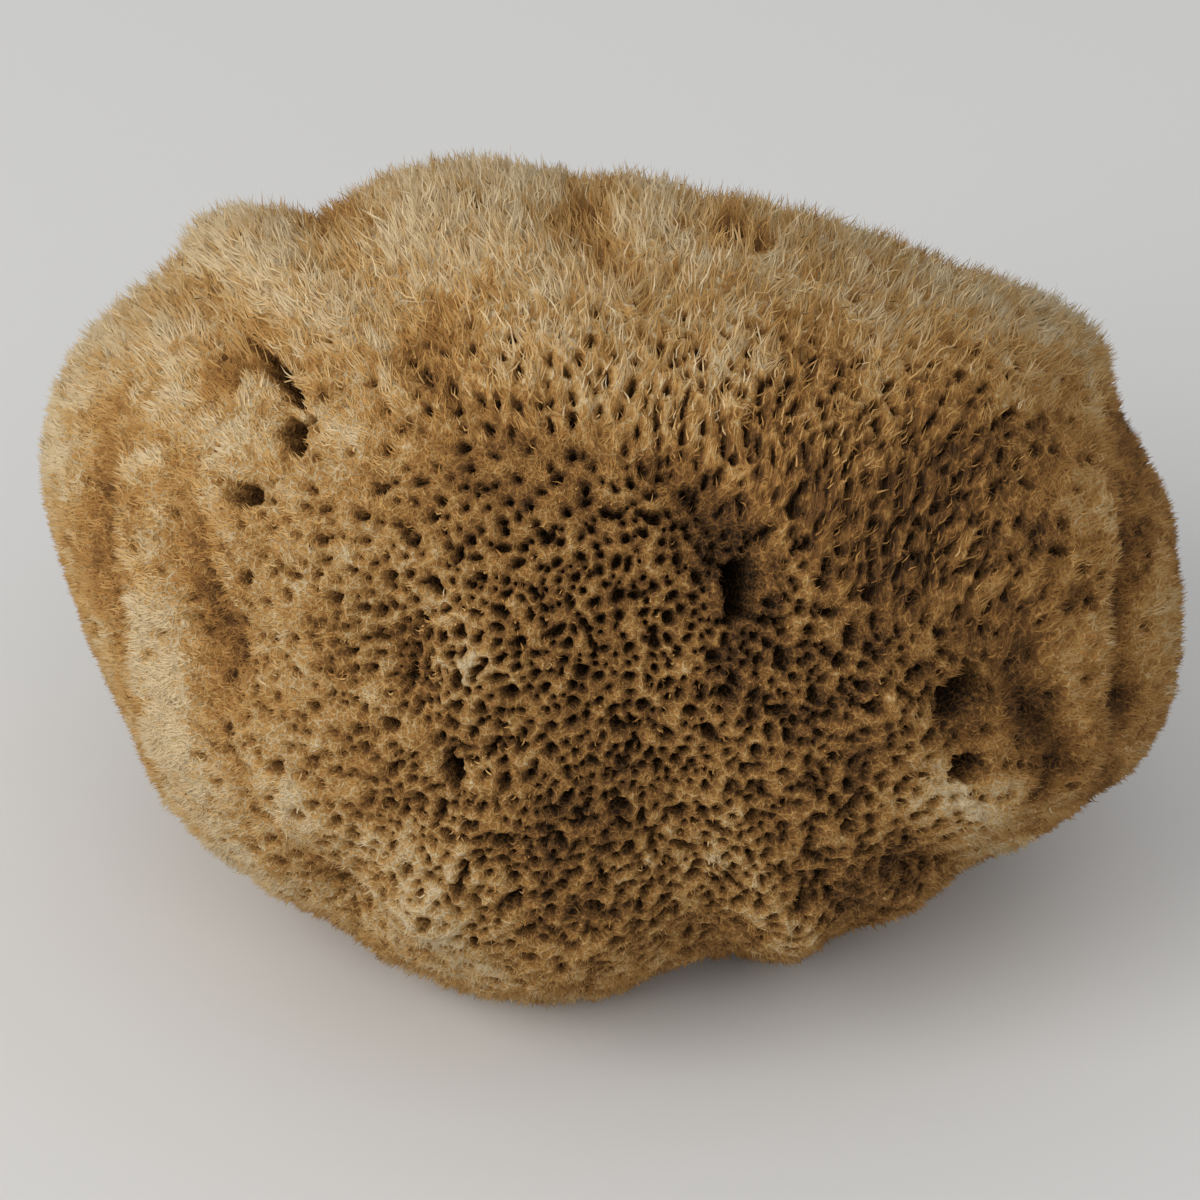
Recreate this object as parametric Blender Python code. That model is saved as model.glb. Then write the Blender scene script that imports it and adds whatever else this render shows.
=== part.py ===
"""A natural bath sponge, cut flat at its base: one lumpy solid with folds, hollows and pores."""
import math
import random

import bmesh
import bpy
import numpy as np
from mathutils import Vector, noise
from mathutils.geometry import delaunay_2d_cdt

MM = 0.001

# The sponge is drawn as it is seen in its main view, which looks down at it from the front.
# Every place below is (right, up) from the middle of that view, in millimetres.
MAIN_VIEW_TILT = math.radians(35)
RIGHT = np.array((1.0, 0.0, 0.0))
UP = np.array((0.0, math.sin(MAIN_VIEW_TILT), math.cos(MAIN_VIEW_TILT)))
OUT = np.array((0.0, -math.cos(MAIN_VIEW_TILT), math.sin(MAIN_VIEW_TILT)))
FACE, BACK = 1, -1

# Driving sizes
FACE_DEPTH = 47.0
BACK_DEPTH = 52.0
ROUNDNESS = 2.3
MIDDLE_HEIGHT = 42.5
RIM_REACH = 0.985
SOFTENED_BY = 0.55
SOFTENING = np.radians((-32, -22, -11, 0, 11, 22, 32))

# The outline in the main view, anticlockwise from the right
OUTLINE = (
    (70, 0), (68, 12), (62.5, 21), (61.5, 30), (53, 35.5), (44.5, 38), (34.5, 41.5), (25, 44),
    (12, 48), (1, 51), (-4, 50), (-10, 51.5), (-20, 51.5), (-28, 50), (-33.5, 46.5), (-38, 44),
    (-45, 46), (-50.5, 44.5), (-53.5, 38.5), (-61, 33), (-67, 26), (-70, 13), (-68, 0),
    (-63.5, -11), (-58, -21), (-54.5, -28), (-44, -37), (-35, -42), (-28, -47.5), (-18, -51),
    (-7, -52.5), (1, -51), (8, -48), (16, -46.5), (23, -48.5), (29, -44.5), (38, -42), (43, -36.5),
    (54, -31), (64, -23), (69, -12),
)

# Rounded lobes: place, side, width, height. A negative height is a hollow.
LOBES = (
    # the fuzzy crown
    ((-22, 42), FACE, 10, 2.0), ((14, 40), FACE, 13, 1.8), ((-4, 44), FACE, 5, -2.4),
    ((-46, 40), FACE, 6, 1.6), ((-34, 33), FACE, 7, -1.6), ((42, 28), FACE, 12, 1.6),
    ((-6, 26), FACE, 9, 1.0), ((24, 27), FACE, 7, -1.2), ((-20, 29), FACE, 6, -1.0),
    # the left side
    ((-57, 4), FACE, 7, 1.6), ((-50, -20), FACE, 7, 2.0), ((-46, -9), FACE, 5, -2.8),
    ((-38, -28), FACE, 7, 2.4), ((-32, -39), FACE, 4, -5.0), ((-22, -38), FACE, 7, 3.4),
    # the porous front
    ((-5, -46), FACE, 8, 1.6), ((9, -43), FACE, 5, -2.2), ((23, -42), FACE, 5, 2.6),
    ((-25, -8), FACE, 6, -2.8), ((-16, -12), FACE, 5, 1.8), ((3, -18), FACE, 12, -1.4),
    ((-16, 12), FACE, 14, 1.4), ((20, 14), FACE, 12, 1.4), ((12, 5), FACE, 6, -2.4),
    # the right side
    ((43, -26), FACE, 8, 4.4), ((38, -38), FACE, 4, -4.2), ((33, -14), FACE, 6, 1.8),
    ((51, 12), FACE, 11, 1.6), ((66, -4), FACE, 6, 1.4),
    # behind
    ((-34, 34), BACK, 13, 2.8), ((20, 34), BACK, 12, 3.0), ((-6, 40), BACK, 7, -2.0),
    ((-50, 8), BACK, 11, 2.4), ((50, 8), BACK, 12, 2.6), ((-4, 18), BACK, 9, -1.8),
    ((-24, 14), BACK, 9, 2.4), ((32, 16), BACK, 7, -2.0), ((12, 4), BACK, 11, 2.2),
    ((-38, -4), BACK, 8, -2.2), ((-58, 24), BACK, 6, -1.8), ((4, 28), BACK, 7, 1.4),
)

# Folds and creases: path, side, width, depth. A negative depth is a ridge.
FOLDS = (
    (((64, 18), (62, 8), (61.5, -4), (62, -16), (60, -26)), FACE, 2.4, 3.8),
    (((57, 10), (57.5, -4), (57, -18), (54, -29)), FACE, 2.4, -1.8),
    (((49, -10), (53, -20), (50, -30)), FACE, 3.0, 3.0),
    (((53, -31), (45, -34.5), (38, -35.5), (32, -34)), FACE, 2.0, 4.4),
    (((-63, 20), (-61, 8), (-59, -6)), FACE, 2.8, 2.4),
    (((-52, 18), (-50, 4), (-48, -8), (-47, -18)), FACE, 3.2, 2.4),
    (((-57, 12), (-56, -6), (-53, -24)), FACE, 2.6, -1.8),
    (((-47, -20), (-41, -30), (-34, -37)), FACE, 2.4, 2.8),
    (((-45, 33), (-42, 26), (-37, 16)), FACE, 1.7, 2.6),
    (((4, 13), (10, 8), (14, 2), (15, -5)), FACE, 2.2, 2.8),
    (((29, -7), (34, -11), (40, -15), (41, -22)), FACE, 2.0, 2.2),
    (((-27, -2), (-25, -10), (-19, -19)), FACE, 2.2, 2.0),
    (((-4, 50), (-3, 42), (2, 36)), FACE, 2.6, 2.2),
    (((-36, 46), (-38, 38), (-37, 30)), FACE, 2.6, 1.8),
    (((-12, 47), (-9, 38), (-14, 29)), BACK, 2.6, 2.6),
    (((-14, 27), (-4, 21), (8, 19)), BACK, 2.4, 2.0),
    (((-58, 22), (-47, 19), (-38, 22)), BACK, 2.6, 2.4),
    (((-38, 8), (-34, 0), (-37, -8)), BACK, 2.6, 2.4),
    (((38, 36), (38, 27), (45, 19)), BACK, 2.6, 2.6),
    (((31, 14), (23, 9), (24, 0)), BACK, 2.4, 2.4),
    (((60, 2), (51, -3), (43, -2)), BACK, 2.4, 2.2),
)
FOLD_STEP = 1.5

# Large openings: place, side, half width, half height, turn in degrees, depth
OSCULA = (
    ((15.4, -1.4), FACE, 2.0, 5.0, -12, 15.0),
    ((42.0, -14.0), FACE, 2.4, 3.6, -32, 10.0),
    ((41.0, -22.0), FACE, 2.3, 1.8, 15, 6.5),
    ((-43.2, 26.5), FACE, 1.4, 6.4, 22, 7.0),
    ((-38.2, 17.0), FACE, 1.5, 2.8, 14, 6.0),
    ((-43.0, 9.6), FACE, 1.6, 1.8, 0, 5.0),
    ((-18.4, -22.4), FACE, 1.3, 2.6, 8, 6.0),
    ((-31.0, -40.0), FACE, 1.6, 1.6, 0, 6.0),
    ((15.0, 40.6), FACE, 2.0, 1.5, 10, 6.0),
    ((-16.0, 45.5), FACE, 1.3, 2.2, 0, 5.0),
    ((-4.0, 30.0), BACK, 3.0, 3.6, 20, 13.0),
    ((30.0, 20.0), BACK, 2.7, 2.2, -30, 10.0),
    ((-40.0, 28.0), BACK, 2.2, 2.8, 15, 9.0),
    ((8.0, 46.0), BACK, 2.2, 1.8, 0, 8.0),
    ((52.0, 6.0), BACK, 1.7, 2.4, 25, 7.0),
    ((-22.0, 6.0), BACK, 1.8, 1.7, 0, 6.0),
)
OSCULUM_SIDES = 10
WALL_REACH = 0.62
WALL_DEPTH = 0.72

# Small pores: a depth is a share of a pore's radius, and a growth is from thin places to crowded ones
PORE_TRIES = 16000
PORE_SIDES = 6
PORE_RADIUS = (0.8, 1.5)
PORE_GROWTH = (0.8, 1.15)
PORE_DEPTH = 2.0
PORE_GAP = 0.55
THIN_GAP = 1.4
PORE_MARGIN = 1.25
PORE_FALLOFF = 1.5
MOST_PORES = 430
PORE_SEED = 11

# Where pores crowd: a patch low on the front, and a thinner band round the foot
PORE_PATCH = (4, -18)
PORE_PATCH_HALF = (42, 32)
FOOT_TOP = 30.0
FOOT_SPAN = 40.0
FOOT_SHARE = 0.4

# Uneven growth all over: size, height
LUMPS = ((26.0, 1.5), (12.0, 0.9))

# Spacing of the mesh's corners
MEAN_RADIUS = 52.0
SKIN_SPACING = 4.4
SKIN_CLEARANCE = 0.7
FOLD_SPACING = 3.0
FOLD_CLEARANCE = 0.6
FOLD_ROWS = (-1.6, 0.0, 1.6)
CLEAR_OF_PORES = 1.45
NEAREST_SHARE = 0.6
CELL_SHARE = math.sqrt(3) / 2

SPONGE_COLOUR = (0.42, 0.27, 0.125, 1.0)
SHARP_ANGLE = math.radians(50)


def clear_scene():
    for item in list(bpy.data.objects):
        bpy.data.objects.remove(item)


def unit(vectors):
    return vectors / np.linalg.norm(vectors, axis=-1, keepdims=True)


def outline_radius(clock):
    """The main view's outline at these clock angles, on a smooth closed curve through OUTLINE."""
    corners = np.array(OUTLINE, float)
    angles = np.mod(np.arctan2(corners[:, 1], corners[:, 0]), 2 * math.pi)
    radii = np.hypot(corners[:, 0], corners[:, 1])
    clock = np.mod(clock, 2 * math.pi)
    after = np.searchsorted(angles, clock, side="right")
    count = len(radii)
    start = after - 1
    begins = angles[start % count]
    ends = np.where(after < count, angles[after % count], 2 * math.pi)
    share = (clock - begins) / (ends - begins)
    p0, p1, p2, p3 = (radii[(start + step) % count] for step in (-1, 0, 1, 2))
    bend = 2 * p0 - 5 * p1 + 4 * p2 - p3
    return p1 + 0.5 * share * (p2 - p0 + share * (bend + share * (3 * (p1 - p2) + p3 - p0)))


def plain_radius(directions):
    """The sponge without its lobes: its outline in the main view, rounded towards both sides.

    The outline's notches and nubs fade out behind it, where the rim is softened.
    """
    right, up, out = directions @ RIGHT, directions @ UP, directions @ OUT
    clock = np.arctan2(up, right)
    sharp = outline_radius(clock)
    soft = np.mean([outline_radius(clock + shift) for shift in SOFTENING], axis=0)
    away = np.clip(-out / SOFTENED_BY, 0, 1)
    rim = sharp + (soft - sharp) * away**2 * (3 - 2 * away)
    depth = np.where(out > 0, FACE_DEPTH, BACK_DEPTH)
    across = np.hypot(right, up)
    return ((across / rim) ** ROUNDNESS + (np.abs(out) / depth) ** ROUNDNESS) ** (-1 / ROUNDNESS)


def on_side(place, side):
    """The point of the plain surface that the main view, or the view from behind, shows at a place."""
    right, up = place
    rim = float(outline_radius(np.array([math.atan2(up, right)]))[0])
    reach = min(math.hypot(right, up) / rim, RIM_REACH)
    depth = FACE_DEPTH if side == FACE else BACK_DEPTH
    out = side * depth * (1 - reach**ROUNDNESS) ** (1 / ROUNDNESS)
    direction = unit(right * RIGHT + up * UP + out * OUT)
    return direction * plain_radius(direction[None])[0]


def path_points(path, side, spacing):
    """Points along a fold, evenly spaced on the straight runs between its own points."""
    corners = [np.array(place, float) for place in path]
    points = []
    for start, end in zip(corners[:-1], corners[1:]):
        steps = max(1, round(float(np.linalg.norm(end - start)) / spacing))
        points += [on_side(start + (end - start) * step / steps, side) for step in range(steps)]
    points.append(on_side(corners[-1], side))
    return np.array(points)


def lobe_height(points):
    """How far the lobes raise the plain surface at these points of it."""
    raised = np.zeros(len(points))
    for place, side, width, height in LOBES:
        apart = np.linalg.norm(points - on_side(place, side), axis=1)
        raised += height * np.exp(-((apart / width) ** 2))
    return raised


def fold_depth(points):
    """How far the folds lower the plain surface at these points of it."""
    lowered = np.zeros(len(points))
    for path, side, width, depth in FOLDS:
        line = path_points(path, side, FOLD_STEP)
        apart = np.linalg.norm(points[:, None] - line[None], axis=2)
        nearest = apart.argmin(axis=1)
        fade = np.sin(math.pi * (nearest + 1) / (len(line) + 1)) ** 0.5
        lowered += depth * fade * np.exp(-((apart.min(axis=1) / width) ** 2))
    return lowered


def lump_height(points):
    """Uneven growth over the whole surface."""
    lumps = np.zeros(len(points))
    for size, height in LUMPS:
        lumps += height * np.array([noise.noise(Vector(point / size)) for point in points])
    return lumps


def skin_radius(directions):
    """The sponge's surface before its openings, cut flat at the base."""
    plain = plain_radius(directions)
    points = directions * plain[:, None]
    radius = plain + lobe_height(points) - fold_depth(points) + lump_height(points)
    down = np.minimum(directions[:, 2], -1e-9)
    return np.minimum(radius, MIDDLE_HEIGHT / -down)


def is_cut(directions):
    """Whether a direction meets the flat base, or comes within a pore's size of it."""
    height = skin_radius(directions) * directions[:, 2] + MIDDLE_HEIGHT
    return height < PORE_RADIUS[1]


def tangents(direction):
    """Two directions across the surface, the first to the right in the main view."""
    across = unit(RIGHT - direction * (RIGHT @ direction) + 1e-6 * UP)
    return across, np.cross(direction, across)


def porosity(directions):
    """How thickly pores stand, from 0 to 1: thickest low on the front, thin on the fuzzy crown."""
    points = directions * plain_radius(directions)[:, None]
    right, up, out = points @ RIGHT, points @ UP, points @ OUT
    aside = (right - PORE_PATCH[0]) / PORE_PATCH_HALF[0]
    above = (up - PORE_PATCH[1]) / PORE_PATCH_HALF[1]
    foot = np.clip((FOOT_TOP - points[:, 2]) / FOOT_SPAN, 0, 1)
    return np.where(out > 0, np.exp(-(aside**4) - above**4), FOOT_SHARE * foot)


def ring(direction, half_width, half_height, turn, sides, reach, start=0.0):
    """Directions around an opening, at a share of its way out to the rim."""
    across, along = tangents(direction)
    turned = math.radians(turn)
    wide = across * math.cos(turned) + along * math.sin(turned)
    tall = along * math.cos(turned) - across * math.sin(turned)
    distance = float(plain_radius(direction[None])[0])
    made = []
    for side in range(sides):
        angle = 2 * math.pi * side / sides + start
        offset = wide * half_width * math.cos(angle) + tall * half_height * math.sin(angle)
        made.append(unit(direction * distance + offset * reach))
    return made


class Surface:
    """The directions of the mesh's corners, and how deep below the skin each one lies."""

    def __init__(self):
        self.directions = []
        self.depths = []
        self.openings = []

    def add(self, directions, depths):
        self.directions += list(directions)
        self.depths += list(depths)

    def keep_clear(self, direction, half_size):
        """Notes an opening, with its half size as an angle."""
        distance = float(plain_radius(direction[None])[0])
        self.openings.append((direction, half_size / distance))

    def free(self, directions, margin, gap=0.0):
        """Which of these directions lie outside every opening noted so far."""
        middles = np.array([opening[0] for opening in self.openings])
        sizes = np.array([opening[1] for opening in self.openings])
        angles = np.arccos(np.clip(directions @ middles.T, -1, 1))
        return (angles > sizes * margin + gap).all(axis=1)


def add_osculum(surface, place, side, half_width, half_height, turn, depth):
    """A large opening: a ragged rim, a steep wall and a narrow floor."""
    direction = unit(on_side(place, side))
    rim = ring(direction, half_width, half_height, turn, OSCULUM_SIDES, 1.0)
    wall = ring(direction, half_width, half_height, turn, OSCULUM_SIDES // 2, WALL_REACH, 0.3)
    surface.add(rim, [0.0] * len(rim))
    surface.add(wall, [depth * WALL_DEPTH] * len(wall))
    surface.add([direction], [depth])
    surface.keep_clear(direction, max(half_width, half_height))


def add_pore(surface, direction, radius, turn):
    """A small round pore that narrows to a point."""
    rim = ring(direction, radius, radius, turn, PORE_SIDES, 1.0)
    surface.add(rim, [0.0] * len(rim))
    surface.add([direction], [radius * PORE_DEPTH])
    surface.keep_clear(direction, radius)


def scatter_pores(surface):
    """Pores at random, each clear of the others, crowding where the sponge is porous."""
    chance = random.Random(PORE_SEED)
    tries = [[chance.gauss(0, 1) for _ in range(3)] for _ in range(PORE_TRIES)]
    directions = unit(np.array(tries))
    made = 0
    for direction, share, cut in zip(directions, porosity(directions), is_cut(directions)):
        radius = chance.uniform(*PORE_RADIUS) * np.interp(share, (0, 1), PORE_GROWTH)
        if made == MOST_PORES or cut or chance.random() > share**PORE_FALLOFF:
            continue
        distance = float(plain_radius(direction[None])[0])
        spread = (PORE_GAP + THIN_GAP * (1 - share) + radius) / distance
        if surface.free(direction[None], PORE_MARGIN, spread)[0]:
            add_pore(surface, direction, radius, chance.uniform(0, 60))
            made += 1


def add_fold_lines(surface):
    """Corners along each fold, so that its floor and its lips stay sharp. It returns their directions."""
    rows = []
    for path, side, width, _ in FOLDS:
        line = path_points(path, side, FOLD_SPACING)
        across = unit(np.cross(np.gradient(line, axis=0), line))
        for offset in FOLD_ROWS:
            rows += list(unit(line + offset * width * across))
    rows = np.array(rows)
    rows = rows[surface.free(rows, CLEAR_OF_PORES, FOLD_CLEARANCE / MEAN_RADIUS)]
    closest = math.cos(NEAREST_SHARE * FOLD_SPACING / MEAN_RADIUS)
    kept = []
    for direction in rows:
        if not kept or (np.array(kept) @ direction).max() < closest:
            kept.append(direction)
    surface.add(kept, [0.0] * len(kept))
    return np.array(kept)


def add_skin_points(surface, fold_lines):
    """Evenly spread corners over what is left, on a golden-angle spiral."""
    count = round(4 * math.pi * MEAN_RADIUS**2 / (SKIN_SPACING**2 * CELL_SHARE))
    steps = np.arange(count) + 0.5
    height = 1 - 2 * steps / count
    angle = steps * math.pi * (3 - math.sqrt(5))
    width = np.sqrt(1 - height**2)
    directions = np.stack([width * np.cos(angle), width * np.sin(angle), height], axis=1)
    free = surface.free(directions, CLEAR_OF_PORES, SKIN_CLEARANCE / MEAN_RADIUS)
    closest = math.cos(NEAREST_SHARE * SKIN_SPACING / MEAN_RADIUS)
    free &= (directions @ fold_lines.T).max(axis=1) < closest
    free[-1] = False  # the lowest point has a corner of its own
    directions = directions[free]
    surface.add(directions, [0.0] * len(directions))


def triangles_between(directions):
    """Delaunay triangles of points on a sphere, made flat as they are seen from its lowest point.

    That point itself comes last, and joins the flat map's outer edge.
    """
    flat = [Vector((d[0] / (1 + d[2]), d[1] / (1 + d[2]))) for d in directions]
    _, _, faces, origins, _, _ = delaunay_2d_cdt(flat, [], [], 0, 1e-9)
    faces = [[origins[corner][0] for corner in face] for face in faces]
    sides = {side for face in faces for side in zip(face, face[1:] + face[:1])}
    lowest = len(directions)
    return faces + [[b, a, lowest] for a, b in sorted(sides) if (b, a) not in sides]


def sponge_mesh():
    surface = Surface()
    for osculum in OSCULA:
        add_osculum(surface, *osculum)
    scatter_pores(surface)
    fold_lines = add_fold_lines(surface)
    add_skin_points(surface, fold_lines)
    directions = np.array(surface.directions)
    faces = triangles_between(directions)
    directions = np.vstack([directions, (0.0, 0.0, -1.0)])
    depths = np.array(surface.depths + [0.0])
    radius = skin_radius(directions) - depths
    points = directions * radius[:, None] + np.array((0.0, 0.0, MIDDLE_HEIGHT))
    mesh = bpy.data.meshes.new("sponge")
    mesh.from_pydata((points * MM).tolist(), [], faces)
    shape = bmesh.new()
    shape.from_mesh(mesh)
    bmesh.ops.recalc_face_normals(shape, faces=shape.faces)
    shape.to_mesh(mesh)
    shape.free()
    return mesh


def sponge_material():
    material = bpy.data.materials.new("sponge_fibre")
    material.use_nodes = True
    shader = material.node_tree.nodes["Principled BSDF"]
    shader.inputs["Base Color"].default_value = SPONGE_COLOUR
    shader.inputs["Roughness"].default_value = 0.95
    shader.inputs["Metallic"].default_value = 0.0
    return material


def centre_on_base(mesh):
    """Puts the origin under the middle of the sponge's box, on its base."""
    places = np.array([vertex.co for vertex in mesh.vertices])
    low, high = places.min(axis=0), places.max(axis=0)
    middle = (low + high) / 2
    for vertex in mesh.vertices:
        vertex.co -= Vector((middle[0], middle[1], low[2]))


def main():
    clear_scene()
    mesh = sponge_mesh()
    centre_on_base(mesh)
    mesh.shade_smooth()
    mesh.set_sharp_from_angle(angle=SHARP_ANGLE)
    mesh.materials.append(sponge_material())
    sponge = bpy.data.objects.new("sponge", mesh)
    bpy.context.scene.collection.objects.link(sponge)


main()
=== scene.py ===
import math

import bmesh
import bpy
import numpy as np
from mathutils import Matrix, Vector, noise
from mathutils.bvhtree import BVHTree
from mathutils.geometry import delaunay_2d_cdt
from mathutils.kdtree import KDTree


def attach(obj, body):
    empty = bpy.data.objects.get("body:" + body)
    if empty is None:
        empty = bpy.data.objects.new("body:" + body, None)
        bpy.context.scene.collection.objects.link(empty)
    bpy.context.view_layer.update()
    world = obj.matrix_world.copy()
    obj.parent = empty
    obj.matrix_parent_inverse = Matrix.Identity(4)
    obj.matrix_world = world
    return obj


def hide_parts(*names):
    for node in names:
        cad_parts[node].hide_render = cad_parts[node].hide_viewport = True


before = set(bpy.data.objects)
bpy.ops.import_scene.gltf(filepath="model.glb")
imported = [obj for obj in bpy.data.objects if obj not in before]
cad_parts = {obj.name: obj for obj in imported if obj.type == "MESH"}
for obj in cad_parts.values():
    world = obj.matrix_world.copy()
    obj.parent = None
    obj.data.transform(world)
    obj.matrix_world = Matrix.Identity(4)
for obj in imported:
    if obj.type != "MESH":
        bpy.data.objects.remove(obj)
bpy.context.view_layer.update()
chance = np.random.default_rng(23)
mm = 0.001

# the main view looks down at the porous front; places on the sponge are given as (right, up) in it, in mm
viewTilt = math.radians(35)
viewRight = np.array((1.0, 0.0, 0.0))
viewUp = np.array((0.0, math.sin(viewTilt), math.cos(viewTilt)))
viewOut = np.array((0.0, -math.cos(viewTilt), math.sin(viewTilt)))
heart = np.array((0.12, -1.54, 42.5))  # the point inside that sees the whole surface, in mm
lowest = -heart[2]


def unit(vectors):
    return vectors / np.linalg.norm(vectors, axis=-1, keepdims=True)


def smoothStep(low, high, value):
    share = np.clip((value - low) / (high - low), 0, 1)
    return share * share * (3 - 2 * share)


def patchy(points, size, seed=0):
    # soft random blotches about that size across, from -1 to 1
    return np.array([noise.noise(Vector(place)) for place in points / size + 31.7 * seed])


def inView(points):
    return points @ viewRight, points @ viewUp, points @ viewOut


def fading(distance, reach):
    # 1 inside an edge, and less the further out
    return np.exp(-(np.maximum(distance, 0) / reach) ** 2)


def nearTree(places, chosen=None):
    # tells which of the places, or of those chosen, lies nearest
    chosen = range(len(places)) if chosen is None else chosen
    tree = KDTree(len(chosen))
    for index in chosen:
        tree.insert(places[index], int(index))
    tree.balance()
    return tree


def newObject(name, data):
    made = bpy.data.objects.new(name, data)
    bpy.context.scene.collection.objects.link(made)
    return made


# the solid, read back as a plain surface and a list of openings


reading = {
    "pitSlope": 1.05,  # a corner belongs to a pit where its neighbours stand that steeply above it
    "fillRounds": 60,  # how often the filled pits are eased
    "hollowRounds": 4,  # how often the surface is eased to tell its hollows
    "rounding": 2,  # subdivision of the soft surface
    "missedRadius": 50.0,  # for a direction that slips between two of its faces, mm
}


def readSolid():
    shape = bmesh.new()
    shape.from_mesh(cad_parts["sponge"].data)
    bmesh.ops.remove_doubles(shape, verts=shape.verts, dist=1e-6)
    shape.verts.ensure_lookup_table()
    points = np.array([corner.co for corner in shape.verts]) / mm - heart
    around = [[edge.other_vert(corner).index for edge in corner.link_edges] for corner in shape.verts]
    faces = [[corner.index for corner in face.verts] for face in shape.faces]
    shape.free()
    return points, around, faces


def findPits(radius, directions, around):
    # a pit's floor and walls lie far below their neighbours for how near these are
    steep = np.zeros(len(radius), bool)
    for corner, near in enumerate(around):
        apart = np.linalg.norm(directions[near] - directions[corner], axis=1) * radius[near]
        steep[corner] = np.mean((radius[near] - radius[corner]) / apart) > reading["pitSlope"]
    for corner, near in enumerate(around):
        steep[corner] |= steep[near].all()
    return steep


def fillPits(radius, steep, around):
    filled = radius.copy()
    pits = np.flatnonzero(steep)
    for corner in pits:
        filled[corner] = max(filled[near] for near in around[corner])
    for _ in range(reading["fillRounds"]):
        for corner in pits:
            filled[corner] = filled[around[corner]].mean()
    return filled


def openingsOf(points, radius, steep, around):
    # one entry for each pit: its middle, its two half axes across the surface, and its depth
    left, openings = set(np.flatnonzero(steep)), []
    while left:
        pit, fringe = set(), [min(left)]
        while fringe:
            corner = fringe.pop()
            if corner in left:
                left.discard(corner)
                pit.add(corner)
                fringe += [near for near in around[corner] if steep[near]]
        rim = sorted({near for corner in pit for near in around[corner]} - pit)
        deepest = min(pit, key=lambda corner: radius[corner])
        direction = points[deepest] / radius[deepest]
        middle = direction * np.mean([radius[corner] for corner in rim])
        flat = points[rim] - middle
        flat -= np.outer(flat @ direction, direction)
        sizes, axes = np.linalg.eigh(flat.T @ flat / len(rim))
        openings.append({
            "direction": direction,
            "wide": axes[:, 2] * math.sqrt(2 * sizes[2]),
            "tall": axes[:, 1] * math.sqrt(2 * sizes[1]),
            "depth": float(np.linalg.norm(middle) - radius[deepest]),
            "large": len(pit) > 1,
        })
    return openings


solidPoints, solidAround, solidFaces = readSolid()
solidRadius = np.linalg.norm(solidPoints, axis=1)
solidDirections = solidPoints / solidRadius[:, None]
steep = findPits(solidRadius, solidDirections, solidAround)
filledRadius = fillPits(solidRadius, steep, solidAround)
openings = openingsOf(solidPoints, solidRadius, steep, solidAround)
print("openings in the solid:", len(openings), "large:", sum(item["large"] for item in openings))


def softSurface():
    # the solid without its pits, rounded, as a tree that answers where a direction leaves it
    mesh = bpy.data.meshes.new("softSurface")
    mesh.from_pydata((solidDirections * filledRadius[:, None]).tolist(), [], solidFaces)
    body = newObject("softSurface", mesh)
    rounding = body.modifiers.new("rounding", "SUBSURF")
    rounding.levels = reading["rounding"]
    tree = BVHTree.FromObject(body, bpy.context.evaluated_depsgraph_get())
    bpy.data.objects.remove(body)
    return tree


def hollowness():
    # how far each corner of the solid lies below the mean of its surroundings
    level = filledRadius.copy()
    for _ in range(reading["hollowRounds"]):
        level = np.array([level[near].mean() for near in solidAround])
    return level - filledRadius


softTree = softSurface()
solidHollow = hollowness()
solidTree = nearTree(solidDirections)


def surfaceRadius(directions):
    origin = Vector((0, 0, 0))
    found = [softTree.ray_cast(origin, Vector(direction))[3] for direction in directions]
    return np.array([reading["missedRadius"] if distance is None else distance for distance in found])


def hollowAt(directions):
    values = np.empty(len(directions))
    for index, direction in enumerate(directions):
        near = solidTree.find_n(direction, 4)
        weights = [1 / (distance + 0.01) for _, _, distance in near]
        values[index] = sum(w * solidHollow[i] for w, (_, i, _) in zip(weights, near)) / sum(weights)
    return values


# how the sponge's growth changes over it

growth = {
    "frontLength": 0.85,  # fibres on the porous front, mm
    "flankLength": 1.3,  # on the sides and low down
    "browLength": 1.1,  # on the combed brow over the front
    "crownLength": 2.7,  # on the fuzzy crown and the back
    "crownFrom": 14.0,  # where the crown begins and is full, up in the main view, mm
    "crownFull": 36.0,
    "backFrom": -30.0,  # the same on the back, as a height over the middle
    "backFull": 5.0,
    "patch": (2.0, -18.0),  # the middle of the porous patch on the front
    "patchHalf": (44.0, 34.0),
    "browRight": (-45, -25, -10, 5, 18, 30, 45, 60),  # the brow's lower edge in the main view, mm
    "browUp": (17, 17, 18, 13, 6, -2, -10, -16),
    "browWander": 2.5,  # how far that edge wanders, mm
    "browFade": 9.0,
    "browLeftEnd": (-34, -14),  # where the brow fades out at its two ends
    "browRightEnd": (58, 36),
    "footPorous": 0.35,  # how porous the sponge is low down, and from which height to which
    "footFrom": 0.0,
    "footFull": -36.0,
    "cutFrom": 1.1,  # height over the cut where it begins to show, mm
    "cutFull": 0.35,
}


def crownShare(points):
    right, up, out = inView(points)
    front = smoothStep(growth["crownFrom"], growth["crownFull"], up)
    behind = smoothStep(growth["backFrom"], growth["backFull"], points[:, 2])
    return np.where(out > 0, front, np.maximum(front, behind * smoothStep(0, -12, out)))


def browShare(points):
    right, up, out = inView(points)
    edge = np.interp(right, growth["browRight"], growth["browUp"])
    edge += growth["browWander"] * patchy(points, 8.0, 21)
    aside = smoothStep(*growth["browLeftEnd"], right) * smoothStep(*growth["browRightEnd"], right)
    fade = growth["browFade"]
    return smoothStep(-fade, fade, up - edge) * smoothStep(-4, 8, out) * (0.12 + 0.88 * aside)


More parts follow.
